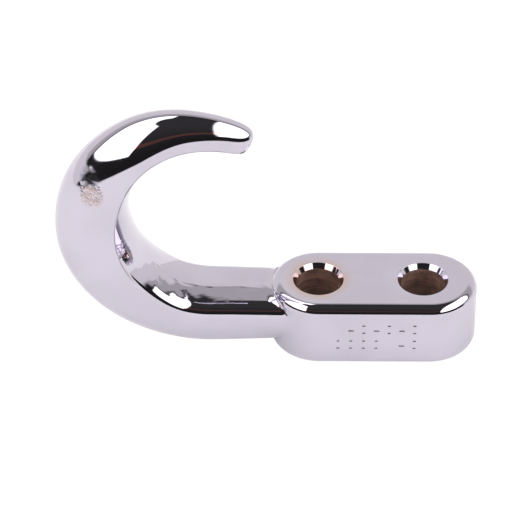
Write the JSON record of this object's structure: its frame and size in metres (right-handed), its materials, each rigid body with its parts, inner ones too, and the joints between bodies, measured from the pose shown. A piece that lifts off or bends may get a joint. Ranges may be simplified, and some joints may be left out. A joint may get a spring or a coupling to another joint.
{
  "type": "tow hook",
  "caption": "Bolt-on forged tow hook: an obround block with vertical bolt holes, and a C-shaped arm tapering to a rounded nose that holds a tow rope or strap.",
  "frame": {"origin": "on the block's flat mounting face, midway between the axes of the bolt holes", "axes": "+X along the block, away from the hook; +Y across the hook, to its back; +Z from the mounting face up through the bolt holes"},
  "size_m": [0.1523, 0.0348, 0.1009],
  "materials": {
    "chrome_plating": "bright chrome plate over a forged surface"
  },
  "bodies": {
    "root": {"mounting_block": "chrome_plating", "hook_arm": "chrome_plating"}
  },
  "joints": []
}
